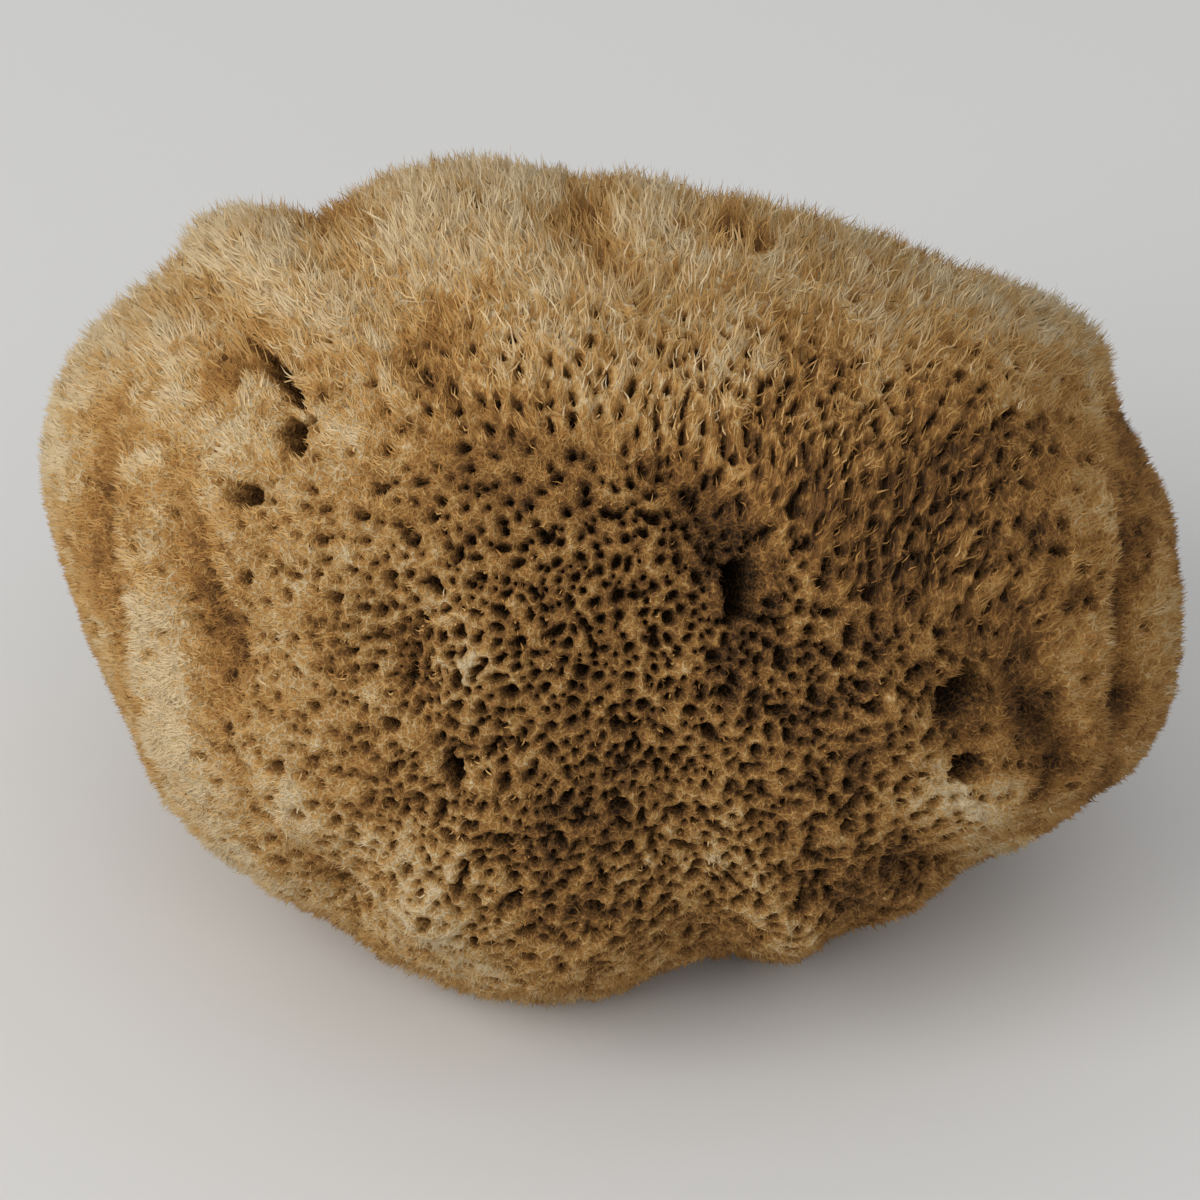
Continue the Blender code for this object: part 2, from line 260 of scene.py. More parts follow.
def porousShare(points):
    right, up, out = inView(points)
    aside = (right - growth["patch"][0]) / growth["patchHalf"][0]
    above = (up - growth["patch"][1]) / growth["patchHalf"][1]
    front = np.exp(-aside**4 - above**4) * smoothStep(-2, 10, out) * (1 - browShare(points))
    foot = growth["footPorous"] * smoothStep(growth["footFrom"], growth["footFull"], points[:, 2])
    return np.maximum(front, foot)


def cutShare(points):
    # 1 on the flat cut that the sponge rests on
    return smoothStep(lowest + growth["cutFrom"], lowest + growth["cutFull"], points[:, 2])


def fibreLength(points):
    length = growth["flankLength"] + (growth["browLength"] - growth["flankLength"]) * browShare(points)
    length += (growth["crownLength"] - length) * crownShare(points)
    return length + (growth["frontLength"] - length) * porousShare(points)


# the skin: two closed nets, a very fine one for the porous front and one for the rest

skin = {
    "corners": 97400,  # in each net
    "frontMiddle": (3.0, -10.0, 44.0),  # right, up and out in the main view
    "frontEdge": 0.46,  # cosine of the angle from that middle to the front net's edge
    "scatter": 0.3,  # how far corners stray from an even spread, as a share of their spacing
    "inset": 0.72,  # how deep the skin lies under the fibre tips, as a share of their length
    "lumps": ((5.5, 0.5), (2.4, 0.36), (1.2, 0.24), (0.55, 0.16)),  # size and height of unevenness, mm
    "ragged": ((0.9, 0.3), (1.8, 0.4)),  # size of the unevenness of a mouth's rim and its share of the width
    "wallRough": 0.25,  # unevenness of the large openings' walls, mm
    "wallLumps": (1.3, 0.6),  # and its two sizes
    "sunkShare": 0.55,  # how far down a net dives where it isn't shown, as a share of the radius
    "poreShare": 0.5,  # a pore's own width inside its funnel
    "poreRadius": (0.27, 0.66),
    "smallBias": 1.6,  # the higher, the more of them are small
    "strayPores": 0.05,  # how thickly pores stand on the plain flanks
    "poreTries": 60000,
    "mostPores": 2900,
    "leftFrom": -12.0,  # where the left begins and is full, on which pores are smaller and browner, with less painted shade
    "leftFull": -34.0,
    "leftSmaller": 0.3,
    "rimGap": 0.35,  # between a pore and a large opening, mm
    "poreGap": (0.3, 1.5),  # between pores where they crowd, and how much more where they don't
    "joined": 0.2,  # share of the crowded pores that run into another
    "overlap": 0.35,  # and how far, as a share of their radius
    "shapes": ((1.0, 1.25, 2.0), (0.5, 0.32, 0.18)),  # length for the width, and how often
    "funnelShapes": ((1.0, 1.3, 1.7), (0.6, 0.25, 0.15)),
    "leastDepth": 2.6,  # of the solid's own pores, mm
    "browPores": 1.0,  # how thickly pores stand on the brow
    "browStretch": 4.2,  # how much longer they are there, along the combing
    "browNarrow": 0.42,  # and how much narrower
    "poreDepth": 4.0,  # as a share of a pore's radius
    "funnelReach": 0.7,
    "funnelDepth": 0.6,
    "cutPores": 0.5,  # how thickly pores stand on the cut
    "openingShare": 0.8,  # a large opening's own width inside its rim
    "slitShare": 0.5,
    "dipDepth": 1.0,
}
# shallow dips between the pores: how many over the whole sponge, reach in mm, and stretch along the combing
dips = {
    "round": {"count": 26000, "reach": 0.38, "stretch": 1.0},
    "furrow": {"count": 11000, "reach": 0.48, "stretch": 3.0},
    "tuftGap": {"count": 6500, "reach": 0.8, "stretch": 1.8},
}
combFan = 0.015  # how far the combing turns outwards, for each mm from the middle


def acrossAxes(direction):
    side = unit(viewRight - direction * (viewRight @ direction) + 1e-6 * viewUp)
    return side, np.cross(direction, side)


def ovalAxes(direction, turn, half, stretch):
    side, along = acrossAxes(direction)
    wide = (side * math.cos(turn) + along * math.sin(turn)) * half * stretch
    return wide, (along * math.cos(turn) - side * math.sin(turn)) * half


def ovalGap(offset, wide, tall, uneven=1.0):
    # how far outside an oval rim each point lies, in mm (negative inside), and how far out as a share of it
    halfWide, halfTall = np.linalg.norm(wide, axis=-1), np.linalg.norm(tall, axis=-1)
    across, along = (offset * wide).sum(axis=1) / halfWide, (offset * tall).sum(axis=1) / halfTall
    reach = np.hypot(across / halfWide, along / halfTall) * uneven
    flat = np.hypot(across, along) * uneven
    gap = np.where(reach < 1e-3, -halfTall, flat - flat / np.maximum(reach, 1e-3))
    apart = np.linalg.norm(offset, axis=1)
    beyond = apart > 1.3 * halfWide + 3
    return np.where(beyond, np.maximum(apart - halfWide, 0), gap), np.where(beyond, 9.0, reach)


def leftShare(points):
    return smoothStep(skin["leftFrom"], skin["leftFull"], points @ viewRight)


def smallPores():
    # pores that the solid leaves out, each clear of the others
    directions = unit(chance.normal(size=(skin["poreTries"], 3)))
    radius = surfaceRadius(directions)
    points = directions * radius[:, None]
    share = np.maximum(porousShare(points), skin["cutPores"] * cutShare(points))
    share = np.maximum(share, skin["strayPores"] * (1 - crownShare(points)))
    brow = browShare(points) * (1 - crownShare(points))
    share = np.maximum(share, skin["browPores"] * brow)
    least, most = skin["poreRadius"]
    size = (least + (most - least) * chance.random(len(points)) ** skin["smallBias"]) * (0.75 + 0.25 * share)
    size *= 1 - skin["leftSmaller"] * leftShare(points)
    keep = chance.random(len(points)) < share**1.3
    middles, sizes = [], []
    for item in openings:
        middle = item["direction"] * surfaceRadius([item["direction"]])[0]
        if item["large"]:
            keep &= ovalGap(points - middle, item["wide"], item["tall"])[0] > size + skin["rimGap"]
        else:
            middles.append(middle)
            sizes.append(0.7 * max(np.linalg.norm(item["wide"]), np.linalg.norm(item["tall"])))
    made = []
    closest, further = skin["poreGap"]
    lengths, often = skin["shapes"]
    kept = (values[keep] for values in (points, directions, size, share, brow))
    for point, direction, own, crowd, combed in zip(*kept):
        gap = closest + further * (1 - crowd)
        if chance.random() < skin["joined"] * crowd:
            gap = -skin["overlap"] * own
        apart = np.linalg.norm(np.array(middles) - point, axis=1)
        if (apart < np.array(sizes) + own + gap).any():
            continue
        turn = chance.uniform(0, math.pi)
        if combed > 0.3:
            turn = math.pi / 2 - combFan * 0.8 * (point @ viewRight) + chance.normal(0, 0.2)
        stretch = chance.choice(lengths, p=often)
        stretch += (skin["browStretch"] - 1) * combed
        own *= 1 - skin["browNarrow"] * combed
        wide, tall = ovalAxes(direction, turn, own, stretch)
        depth = own * skin["poreDepth"]
        made.append(dict(direction=direction, wide=wide, tall=tall, depth=depth, large=False))
        middles.append(point)
        sizes.append(own * stretch)
        if len(made) == skin["mostPores"]:
            break
    return made


def narrowed(item):
    # a pore of the solid stands for a funnel, and the pore itself is narrower
    share = skin["poreShare"] * chance.uniform(0.8, 1.25)
    lengths, often = skin["funnelShapes"]
    stretch = chance.choice(lengths, p=often)
    turn = chance.uniform(0, math.pi)
    half = share * np.linalg.norm(item["wide"])
    wide, tall = ovalAxes(item["direction"], turn, half, stretch)
    return dict(item, wide=wide, tall=tall, depth=max(item["depth"], skin["leastDepth"]))


def drawnIn(item):
    # the skin's lips close over a large opening, and most over a slit
    slit = np.linalg.norm(item["wide"]) > 4 * np.linalg.norm(item["tall"])
    share = skin["slitShare"] if slit else skin["openingShare"]
    return dict(item, wide=item["wide"] * 0.95, tall=item["tall"] * share)


mouths = [drawnIn(item) if item["large"] else narrowed(item) for item in openings] + smallPores()
print("pores and openings:", len(mouths))

mouthMiddles = np.array([item["direction"] for item in mouths])
mouthMiddles *= surfaceRadius(mouthMiddles)[:, None]
mouthWide = np.array([item["wide"] for item in mouths])
mouthTall = np.array([item["tall"] for item in mouths])
mouthDepth = np.array([item["depth"] for item in mouths])
mouthLarge = np.array([item["large"] for item in mouths])
smallMouths = nearTree(mouthMiddles, np.flatnonzero(~mouthLarge))
largeMouths = nearTree(mouthMiddles, np.flatnonzero(mouthLarge))


def nearMouth(points, count=3):
    # for each point: how far outside the nearest rim it lies in mm (negative inside), whose rim,
    # and how deep the mouths are there
    best = np.full(len(points), 99.0)
    (fineSize, fineShare), (wideSize, wideShare) = skin["ragged"]
    fine = fineShare * patchy(points, fineSize, 31)
    wideWobble = wideShare * patchy(points, wideSize, 32)
    whose = np.zeros(len(points), int)
    depth = np.zeros(len(points))
    found = [[near[1] for near in smallMouths.find_n(point, count) + largeMouths.find_n(point, 2)]
             for point in points]
    for index in np.array(found).T:
        uneven = 1 + fine + wideWobble * mouthLarge[index]
        gap, reach = ovalGap(points - mouthMiddles[index], mouthWide[index], mouthTall[index], uneven)
        closer = gap < best
        best[closer] = gap[closer]
        whose[closer] = index[closer]
        depth = np.maximum(depth, mouthDepth[index] * (1 - np.minimum(reach, 1) ** 3))
    return best, whose, depth


pole = unit(sum(share * axis for share, axis in zip(skin["frontMiddle"], (viewRight, viewUp, viewOut))))
poleSide, poleAlong = acrossAxes(pole)


def mouthRings(chosen):
    # corners for each mouth: a ragged rim, and rings down to its floor
    directions = []
    for index in chosen:
        item, middle = mouths[index], mouthMiddles[index]
        large = item["large"]
        half = max(np.linalg.norm(item["wide"]), np.linalg.norm(item["tall"]))
        sides = int(np.clip(round(2 * math.pi * half / 0.5), 6, 40))
        rings = (1.1, 1.0, 0.92, 0.84, 0.74, 0.62, 0.48, 0.3) if large else (1.0, 0.6)
        start = chance.uniform(0, 6.28)
        ragged = 1 + chance.normal(0, 0.17 if large else 0.09, sides)
        for ring, reach in enumerate(rings):
            corners = sides if ring == 0 or large and ring < 6 else max(4, sides // 2)
            angles = start + ring * 0.4 + 2 * math.pi * np.arange(corners) / corners
            rag = ragged[(np.arange(corners) * sides) // corners]
            offset = np.outer(np.cos(angles) * rag, item["wide"])
            offset += np.outer(np.sin(angles) * rag, item["tall"])
            directions += list(unit(middle + offset * reach))
        directions.append(item["direction"])
    return np.array(directions)


def spiral(count, crowding, stray):
    # directions spread evenly apart from the crowding, which depends on how near they are to the pole
    height = np.linspace(1, -1, 20001)
    density = crowding(height)
    total = np.concatenate(([0], np.cumsum((density[1:] + density[:-1]) / 2)))
    height = np.interp((np.arange(count) + 0.5) / count, total / total[-1], height)
    angle = np.arange(count) * math.pi * (3 - math.sqrt(5))
    width = np.sqrt(1 - height**2)
    made = np.outer(height, pole)
    made += np.outer(width * np.cos(angle), poleSide) + np.outer(width * np.sin(angle), poleAlong)
    spacing = np.sqrt(4 * math.pi / count * density.mean() / crowding(height))
    return unit(made + chance.normal(0, stray, made.shape) * spacing[:, None])


def evenly(height):
    return np.ones_like(height)


def combSpace(points, stretch):
    # a space in which the combing runs straight up and lengths along it are short
    right, up, out = inView(points)
    right = right / (1 + combFan * np.clip(up, -30, 45))
    return np.stack([right, up / stretch, out], axis=1)


def feltSpace(points):
    # the space that the felt is drawn in: drawn out along the combing on the brow
    right, up, out = inView(points)
    combed = browShare(points)
    edge = np.interp(right, growth["browRight"], growth["browUp"])
    up = edge + (up - edge) * (1 - 0.7 * combed)
    right = right / (1 + combFan * combed * np.clip(up, -30, 45))
    return np.stack([right, up, out], axis=1)


for kind in dips.values():
    middles = spiral(kind["count"], evenly, 0.3)
    middles *= surfaceRadius(middles)[:, None]
    kind["tree"] = nearTree(combSpace(middles, kind["stretch"]))
    kind["strength"] = chance.uniform(0.25, 1.0, len(middles))


def dipOf(kind, points):
    found = [kind["tree"].find(place)[1:] for place in combSpace(points, kind["stretch"])]
    nearest = np.array([one[0] for one in found])
    apart = np.array([one[1] for one in found])
    return kind["strength"][nearest] * fading(apart, kind["reach"])


def dipAt(points):
    # from 0 on the ridges to 1 in the deepest dips between the pores; the points lie on the soft surface
    brow, crown, porous = browShare(points), crownShare(points), porousShare(points)
    even = dipOf(dips["round"], points) * (0.2 + 0.55 * porous)
    long = dipOf(dips["furrow"], points) * (0.1 + 0.9 * brow * (1 - 0.5 * crown))
    wide = dipOf(dips["tuftGap"], points) * (0.7 - 0.5 * porous)
    return np.maximum(np.maximum(even, long), wide)


def trianglesBetween(directions):
    # Delaunay triangles on the sphere of directions; the lowest one comes last and closes the net
    flat = [Vector((d[0] / (1 + d[2]), d[1] / (1 + d[2]))) for d in directions]
    _, _, faces, origins, _, _ = delaunay_2d_cdt(flat, [], [], 0, 1e-10)
    faces = np.array([[origins[corner][0] for corner in face] for face in faces])
    sides = {(a, b) for face in faces.tolist() for a, b in zip(face, face[1:] + face[:1])}
    last = len(directions)
    outer = [[b, a, last] for a, b in sorted(sides) if (b, a) not in sides]
    return np.vstack([faces, outer])


netEdge = skin["frontEdge"]
mouthHeight = unit(mouthMiddles) @ pole
nets = {
    "sponge_front": {
        "crowding": lambda height: 1 + 130 * smoothStep(netEdge - 0.06, netEdge - 0.02, height),
        "mouths": np.flatnonzero(mouthHeight > netEdge - 0.03),
        "shown": lambda height: smoothStep(netEdge - 0.045, netEdge - 0.02, height),
        "own": lambda height: height >= netEdge,
    },
    "sponge_skin": {
        "crowding": lambda height: 1 - 0.96 * smoothStep(netEdge + 0.02, netEdge + 0.07, height),
        "mouths": np.flatnonzero(mouthHeight < netEdge + 0.03),
        "shown": lambda height: 1 - smoothStep(netEdge + 0.01, netEdge + 0.035, height),
        "own": lambda height: height < netEdge,
    },
}


def buildSkin(net):
    # where a net isn't shown it dives under the other one, so that both are closed
    rings = mouthRings(net["mouths"])
    wanted = skin["corners"] - len(rings)
    free = spiral(int(wanted * 1.35), net["crowding"], skin["scatter"])
    gap, _, _ = nearMouth(free * surfaceRadius(free)[:, None])
    free = free[gap > 0.2]
    if len(free) > wanted:
        free = free[np.sort(chance.choice(len(free), wanted, replace=False))]
    directions = np.vstack([rings, free])
    faces = trianglesBetween(directions)
    directions = np.vstack([directions, (0, 0, -1)])
    radius = surfaceRadius(directions)
    points = directions * radius[:, None]
    cut = cutShare(points)
    gap, whose, depth = nearMouth(points, 4)
    inset = skin["inset"] * fibreLength(points)
    for size, swing in skin["lumps"]:
        inset -= swing * patchy(points, size, int(size * 2))
    inset += skin["funnelDepth"] * fading(gap, skin["funnelReach"])
    dip = dipAt(points)
    inset += skin["dipDepth"] * dip
    height = directions @ pole
    shown = net["shown"](height)
    skinRadius = radius - inset * (1 - cut) - depth
    sunk = skin["sunkShare"] * radius
    skinRadius = sunk + (skinRadius - sunk) * shown
    made = directions * skinRadius[:, None]
    wall = np.flatnonzero(mouthLarge[whose] & (gap < 0.6))
    coarse, fine = skin["wallLumps"]
    rough = [noise.noise_vector(Vector(place) / coarse) + 0.6 * noise.noise_vector(Vector(place) / fine)
             for place in made[wall]]
    made[wall] += skin["wallRough"] * np.array(rough) * shown[wall, None]
    made[:, 2] = np.maximum(made[:, 2], lowest)
    values = {
        # shade: how deep in a mouth a corner lies; the skin's colour darkens with it as painted shade
        "shade": smoothStep(0.05, 1.1, depth),
        # slope: highest beside a pore and in a dip; the skin is painted darker there as shade
        "slope": np.maximum(fading(gap, 0.55), dip),
        "hollow": hollowAt(directions),
        "cut": cut,
        "own": net["own"](height).astype(float) * (shown > 0.99),
    }
    return made, faces, values


def newMesh(name, points, faces, values):
    # a triangle mesh in metres, with one number a corner for each of the values
    mesh = bpy.data.meshes.new(name)
    mesh.vertices.add(len(points))
    mesh.vertices.foreach_set("co", ((points + heart) * mm).astype(np.float32).ravel())
    mesh.loops.add(3 * len(faces))
    mesh.loops.foreach_set("vertex_index", faces.astype(np.int32).ravel())
    mesh.polygons.add(len(faces))
    mesh.polygons.foreach_set("loop_start", np.arange(0, 3 * len(faces), 3, dtype=np.int32))
    for label, numbers in values.items():
        layer = mesh.attributes.new(label, "FLOAT", "POINT")
        layer.data.foreach_set("value", np.asarray(numbers, np.float32))
    mesh.update(calc_edges=True)
    mesh.validate()
    mesh.shade_smooth()
    return newObject(name, mesh)


# paler and darker places on the front, as seen in the main view: place, reach in mm, change of tone; partly the
# sponge's own spots, partly painted light on ridges and tufts and painted shade in valleys
spotsAndPaintedLight = (
    ((-6, -34), 9, -0.16), ((43, -27), 8, 0.24), ((11, -33), 9, 0.14), ((-3, -29), 6, -0.2),
    ((-33, 9), 9, 0.08), ((14, 23), 6, 0.16), ((24, 18), 8, -0.06), ((14, 1), 5, -0.24),
    ((-26, 1), 8, 0.14), ((-16, -10), 3.5, 0.2), ((59, -12), 4, 0.04), ((-58, 10), 10, -0.24),
    ((-25, -8), 4, 0.12), ((-30, 32), 14, 0.06), ((-24, -34), 6, 0.18), ((46, -33), 5, 0.1),
    ((-18, 18), 8, -0.12), ((-5, 7), 6, -0.12), ((-34, -42), 6, -0.1), ((-40, 12), 5, -0.16),
    ((14, 41), 1.8, -0.6), ((17.5, 39), 1.4, -0.5), ((33, 37), 3, -0.15), ((55, -22), 6, -0.24),
    ((54, 20), 5, 0.12), ((42, 27), 7, -0.18), ((34, -37), 6, -0.2), ((30, -2), 7, -0.1),
    ((-50, -10), 7, 0.16), ((46, -17), 5, -0.1), ((-8, 46), 8, 0.14), ((4, 25), 10, 0.12),
    ((40, 34), 8, 0.14), ((14, -9), 5, -0.1), ((31, -20), 5, -0.1), ((34, -37), 5, -0.1),
    ((35, -24), 5, 0.2), ((27, -35), 6, -0.12), ((68, -5), 6, 0.1), ((-58, 20), 8, -0.12),
    ((-50, -17), 6, 0.08), ((30, -20), 4, -0.12), ((-1, -28), 5, -0.08), ((-8, -43), 5, -0.1),
    ((-2, -46), 5, -0.1), ((-20, 31), 8, 0.1), ((50, -17), 5, -0.08), ((22, -27), 6, -0.08),
    ((22, 11), 4, -0.1), ((39, 25), 5, -0.1), ((58, 17), 6, 0.1), ((-18, -46), 5, 0.12),
    ((30, 42), 5, 0.1), ((31, 23), 4, 0.08), ((57, -20), 5, 0.08), ((-42, -17), 5, -0.08),
    ((-58, 4), 8, -0.1),
)
# the tone of the fibres, from 0, dark brown, to 1, pale tan
tones = {
    "plain": 0.55,
    "pale": 0.26,  # how much paler the bleached crown is
    "paleRight": (-60, -33, -20, -5, 15, 35, 60),  # where the crown ends, right and up in the main view
    "paleUp": (6, 12, 25, 24, 22, 23, 27),
    "paleFade": (-12, 10),
    "left": (0.13, -18, -48),  # change of tone towards a side outside the crown, from where to where: paler to the left and low down, darker to the right, partly the sponge's own colour and partly painted light and shade that follow the key lamp on the left
    "right": (-0.12, -10, 25),
    "farRight": (-0.06, 34, 46),
    "low": (0.08, -16, -38),
    "hollow": -0.15,  # for each mm that a place is hollow: darker in hollows and paler on rises, partly browner fibre and partly painted shade and light
    "blotches": ((0.14, 9.0, 3), (0.18, 3.2, 4), (0.10, 1.4, 6)),  # strength, size in mm, seed
    "least": 0.1,
    "most": 0.97,
}


def toneAt(points, hollow):
    # bleached on the crown; paler on rises and darker in hollows, partly the fibre's own colour and partly
    # painted light and shade
    right, up, out = inView(points)
    above = up - np.interp(right, tones["paleRight"], tones["paleUp"]) + 3 * patchy(points, 11.0, 5)
    pale = np.where(out > 0, smoothStep(*tones["paleFade"], above), crownShare(points))
    tone = tones["plain"] + tones["pale"] * pale
    # paler towards the left and low down, darker towards the right: partly own colour, partly painted light on
    # the side facing the key lamp and painted shade on the side away from it
    for side, place in (("left", right), ("farRight", right), ("right", right), ("low", up)):
        change, start, full = tones[side]
        share = smoothStep(start, full, place) * (1 - pale)
        if side == "farRight":
            share *= smoothStep(-26, -14, up)
        tone += change * share
    # hollows painted darker and rises paler: partly browner fibre, partly painted shade and light
    tone += tones["hollow"] * np.clip(hollow, -1.4, 2.0)
    for strength, size, seed in tones["blotches"]:
        tone += strength * patchy(points, size, seed)
    # the listed spots: partly own colour, partly painted light and shade
    for (markRight, markUp), reach, shift in spotsAndPaintedLight:
        tone += shift * np.exp(-((right - markRight) ** 2 + (up - markUp) ** 2) / reach**2) * (out > 0)
    return np.clip(tone, tones["least"], tones["most"])


skinTones = {
    "plain": 0.06,  # how much paler the skin is than the fibres
    "porous": 0.07,  # and how much more on the porous front
    "slope": -0.3,  # painted shade beside a pore and in a dip
    "pore": 0.8,  # how far the tone falls in a pore: painted shade in the pores and openings
    "leftPoreShade": 0.4,  # and how much less painted pore shade there is on the left
    "along": 0.6,  # how far up a fibre the skin's colour is taken from
}
skins = {name: buildSkin(net) for name, net in nets.items()}
skinPieces = []
for name, (points, faces, values) in skins.items():
    tone = toneAt(points, values["hollow"]) + skinTones["plain"]
    tone += skinTones["porous"] * porousShare(points) + skinTones["slope"] * values["slope"]
    left = leftShare(points)
    # pores and openings are painted darker, and lower down the fibre colour ramp, as painted shade
    poreShadeFall = skinTones["pore"] - skinTones["leftPoreShade"] * left
    along = skinTones["along"] - 0.2 * values["slope"] - (0.5 - 0.3 * left) * values["shade"]
    piece = newMesh(name, points, faces, {
        "tone": np.clip(tone, 0.08, 1) * (1 - poreShadeFall * values["shade"]),
        "along": np.clip(along, 0, 1),
    })
    place = piece.data.attributes.new("feltPlace", "FLOAT_VECTOR", "POINT")
    place.data.foreach_set("vector", (feltSpace(points) * mm).astype(np.float32).ravel())
    skinPieces.append(piece)
    print(name, len(points), "corners", len(faces), "triangles")

# both skins as one, for the fibres to stand on
skinPoints = np.vstack([points for points, _, _ in skins.values()])
offsets = (0, len(skins["sponge_front"][0]))
skinFaces = np.vstack([faces + offset for (_, faces, _), offset in zip(skins.values(), offsets)])
skinValues = {label: np.concatenate([values[label] for _, _, values in skins.values()])
              for label in ("shade", "slope", "hollow", "cut", "own")}


# the fuzz: short stiff fibres that stand in tufts all over the skin

fuzz = {
    "fibres": 128000,
    "strands": 8000,
    "width": 0.138,  # half width at the root, mm
    "strandWidth": 0.12,
    "tuft": 9,  # fibres in a tuft
    "tuftTall": (0.6, 1.3),  # how a tuft's length varies
    "length": (0.6, 1.15),  # how the fibres' length varies in it
    "strandLength": (1.0, 1.4),
    "bareThin": 0.5,  # how much thinner the fibres stand on the porous front and the brow
    "backThin": 0.25,  # and on the back
    "crownFrom": 17.0,  # where the crown's own pieces begin, up in the main view, mm
    "dipShare": 0.8,  # how much shorter the fibres are in a dip
    "tuftPull": 0.75,  # how far the tips of a tuft gather
    "lean": 0.55,  # how far fibres are combed up the sponge
    "stray": 0.3,
    "sway": 0.6,
    "sunk": 0.25,  # how deep their roots stand in the skin, mm
    "roundness": 0.4,  # how far each fibre takes the light by its own form
}


def faceSizes():
    corners = skinPoints[skinFaces]
    across = np.cross(corners[:, 1] - corners[:, 0], corners[:, 2] - corners[:, 0])
    area = np.linalg.norm(across, axis=1) / 2
    return area, across / np.maximum(2 * area, 1e-9)[:, None]


faceArea, faceNormal = faceSizes()


def skinNormals():
    # each corner's normal, eased towards the rounded form under it
    total = np.zeros_like(skinPoints)
    for corner in range(3):
        np.add.at(total, skinFaces[:, corner], faceNormal * faceArea[:, None])
    return unit(unit(total + 1e-9) + 0.8 * unit(skinPoints))


cornerNormal = skinNormals()


def chooseRoots(count, liking):
    # places on the skin at random, clear of the mouths and the cut, and their hollow and normal
    shade = skinValues["shade"][skinFaces].max(axis=1)
    cut = skinValues["cut"][skinFaces].mean(axis=1)
    own = skinValues["own"][skinFaces].min(axis=1)
    weight = faceArea * (shade < 0.6) * (cut < 0.3) * own * liking
    chosen = chance.choice(len(skinFaces), count, p=weight / weight.sum())
    mix = chance.random((count, 2))
    flip = mix.sum(axis=1) > 1
    mix[flip] = 1 - mix[flip]
    a, b, c = (skinPoints[skinFaces[chosen, i]] for i in range(3))
    roots = a + (b - a) * mix[:, :1] + (c - a) * mix[:, 1:]
    hollow = skinValues["hollow"][skinFaces[chosen]].mean(axis=1)
    return roots, hollow, unit(cornerNormal[skinFaces[chosen]].mean(axis=1))


def combing(points, normal):
    # up the sponge and fanning out to both sides, along the surface
    combed = viewUp + combFan * np.outer(points @ viewRight, viewRight)
    return combed - np.einsum("ij,ij->i", combed, normal)[:, None] * normal


def overMouths(outward, gap, whose):
    # near a large opening the fibres hang over it
    toMiddle = mouthMiddles[whose] - outward
    toMiddle /= np.linalg.norm(toMiddle, axis=1)[:, None]
    near = mouthLarge[whose] * fading(gap, 1.2)
    return toMiddle * near[:, None], near


def growFuzz(count):
    middle = skinPoints[skinFaces].mean(axis=1)
    far = smoothStep(0, -20, middle @ viewOut)
    ridge = 1 - 0.9 * skinValues["slope"][skinFaces].mean(axis=1)
    bare = np.maximum(porousShare(middle), 0.8 * browShare(middle) * (1 - crownShare(middle)))
    liking = (1 - fuzz["bareThin"] * bare - fuzz["backThin"] * far) * ridge
    roots, hollow, normal = chooseRoots(count, liking)
    outward = unit(roots)
    surface = outward * surfaceRadius(outward)[:, None]
    gap, whose, _ = nearMouth(surface, 2)
    crown, brow = crownShare(roots), browShare(roots)
    long = np.maximum(crown, brow)
    centres = chance.choice(count, count // fuzz["tuft"], replace=False)
    tuftTree = nearTree(roots[centres])
    tuft = np.array([tuftTree.find(root)[1] for root in roots])
    tuftTall = chance.uniform(*fuzz["tuftTall"], len(centres))[tuft]
    length = fibreLength(roots) * chance.uniform(*fuzz["length"], count)
    length *= 1 + (tuftTall - 1) * (0.4 + 0.6 * long)
    hang, near = overMouths(surface, gap, whose)
    length *= 1 - 0.4 * fading(gap, 0.45) * (1 - near)
    dip = dipAt(surface)
    length *= 1 - fuzz["dipShare"] * dip
    lean = fuzz["lean"] * (0.4 + 0.6 * long + 1.6 * brow * (1 - 0.7 * crown))
    sway = np.stack([patchy(roots, 4.5, seed) for seed in (11, 12, 13)], axis=1)
    stray = chance.normal(0, fuzz["stray"], (count, 3))
    heading = unit(normal + lean[:, None] * combing(roots, normal) + fuzz["sway"] * sway + stray + 0.8 * hang)
    tips = roots + heading * length[:, None]
    centre = centres[tuft]
    pulled = roots[centre] + heading[centre] * length[:, None]
    pull = fuzz["tuftPull"] * chance.uniform(0.5, 1.2, count) * (0.35 + 0.65 * long)
    tips += (pulled - tips) * pull[:, None]
    tips[:, 2] = np.maximum(tips[:, 2], lowest + 0.1)
    # slope: highest beside a pore and in a dip; there fibres are painted darker and start lower on their colour
    # ramp, as painted shade
    slope = np.maximum(dip, fading(gap, 0.6))
    tone = toneAt(roots, hollow) + chance.normal(0, 0.02, count) + chance.normal(0, 0.07, len(centres))[tuft]
    # taller tufts are painted paler, as light on the raised tufts
    tone += 0.07 - 0.04 * crown + 0.25 * (tuftTall - 1) - (0.34 + 0.2 * brow * (1 - crown)) * slope
    thin = 1 - np.maximum(0.4 * np.maximum(porousShare(roots), brow * (1 - crown)), 0.14 * crown)
    return roots, tips, np.clip(tone, 0.06, 0.97), 0.55 - 0.2 * crown - 0.15 * slope, thin, normal


